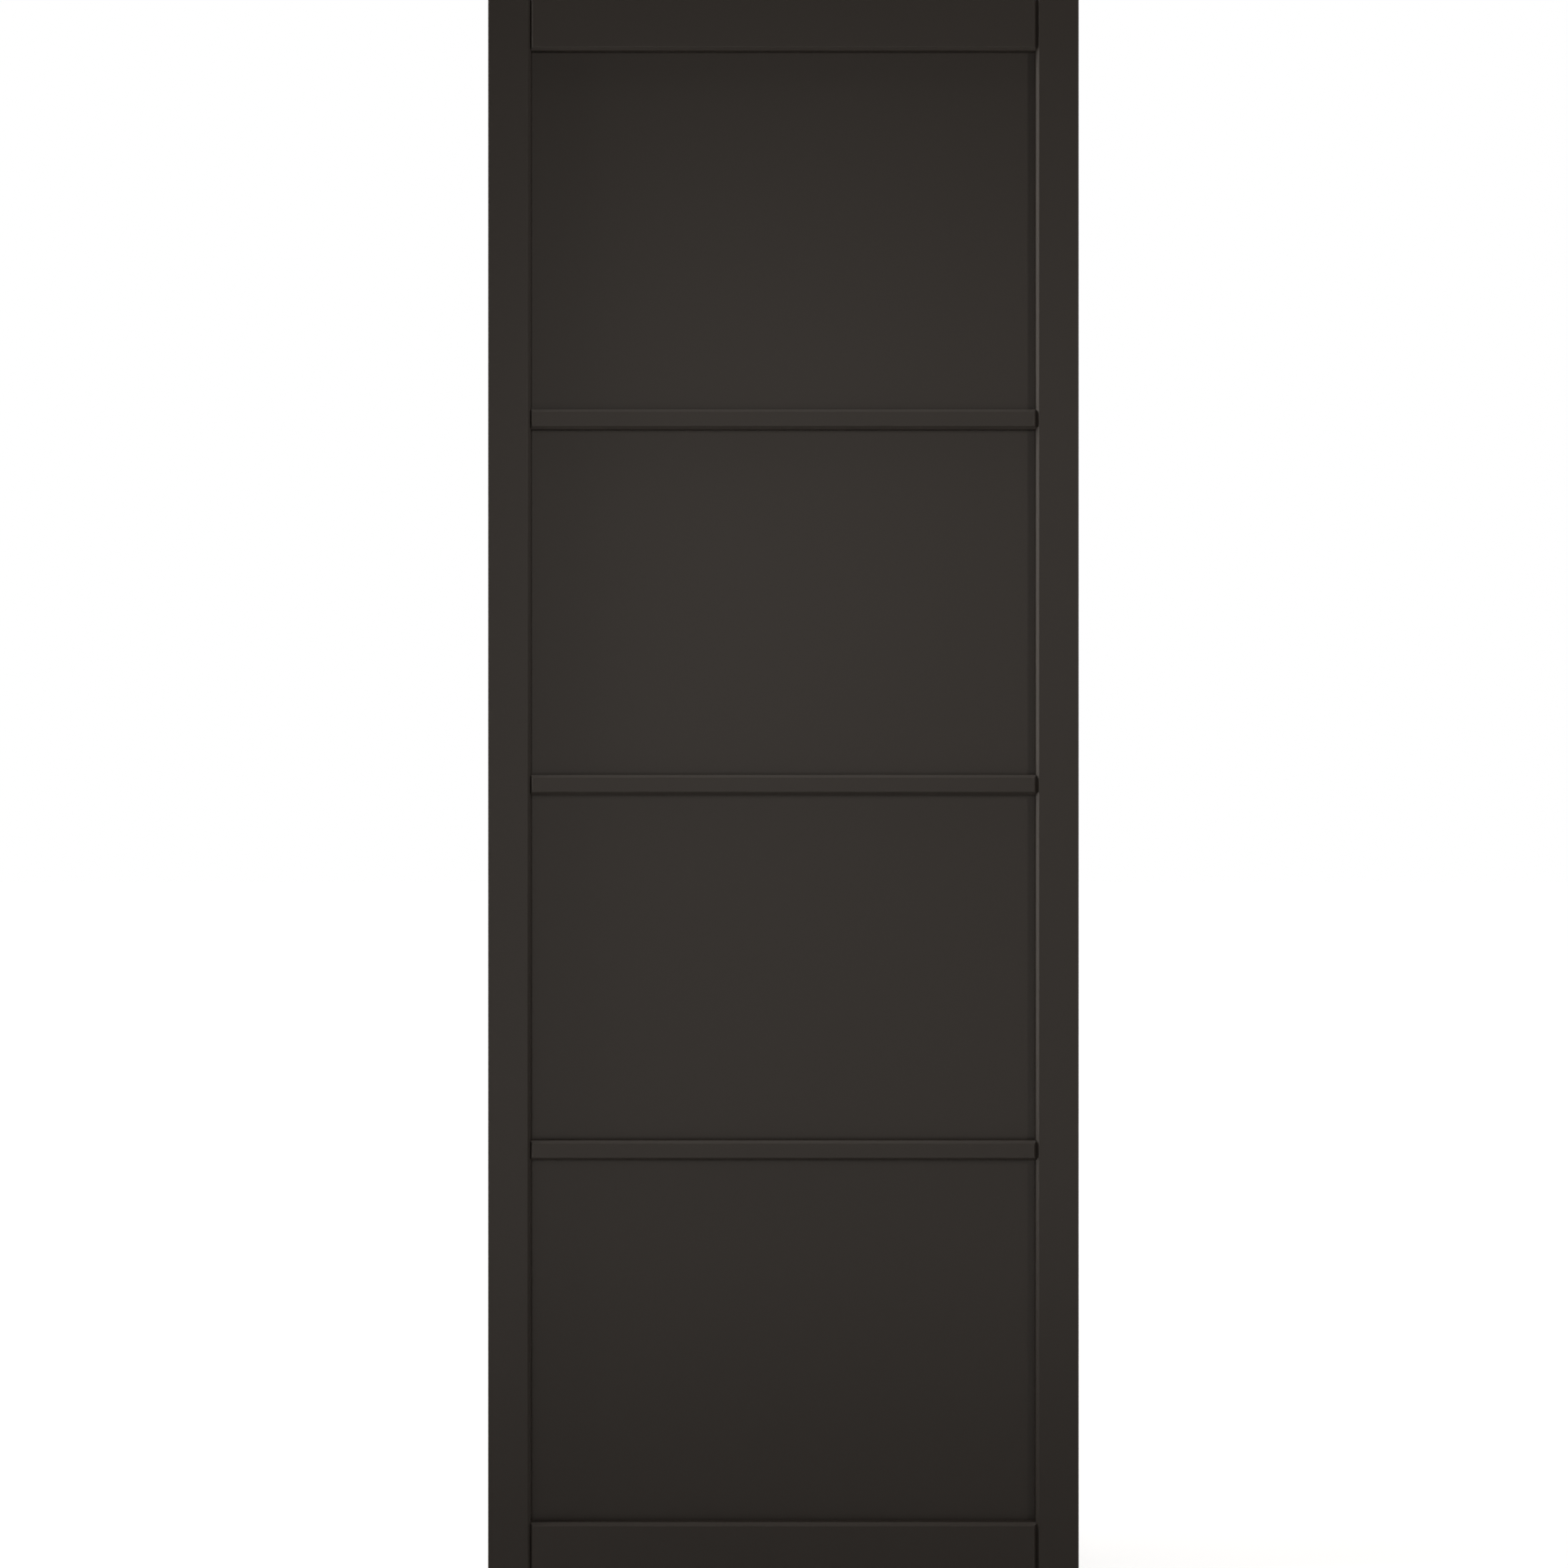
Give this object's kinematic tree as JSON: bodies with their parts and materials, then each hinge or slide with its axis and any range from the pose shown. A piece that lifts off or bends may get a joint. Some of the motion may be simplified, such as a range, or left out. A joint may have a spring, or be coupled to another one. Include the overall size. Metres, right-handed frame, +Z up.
{
  "type": "four-panel interior door leaf",
  "caption": "Tall painted door leaf with slim stiles, rails and bars around flat recessed panels, hung by one edge to close an interior doorway.",
  "frame": {"origin": "middle of the leaf's bottom edge, at half its width and half its thickness", "axes": "+X across the leaf to the right as seen from the front, +Y through its thickness to the back, +Z up"},
  "size_m": [0.762, 0.04, 2.032],
  "materials": {
    "satin_paint": "satin",
    "beech": "raw"
  },
  "bodies": {
    "root": {"left_stile": "satin_paint", "right_stile": "satin_paint", "top_rail": "satin_paint", "upper_bar": "satin_paint", "middle_bar": "satin_paint", "lower_bar": "satin_paint", "bottom_rail": "satin_paint", "top_panel": "satin_paint", "upper_panel": "satin_paint", "lower_panel": "satin_paint", "bottom_panel": "satin_paint", "top_rail_dowels": "beech", "upper_bar_dowels": "beech", "middle_bar_dowels": "beech", "lower_bar_dowels": "beech", "bottom_rail_dowels": "beech"}
  },
  "joints": []
}
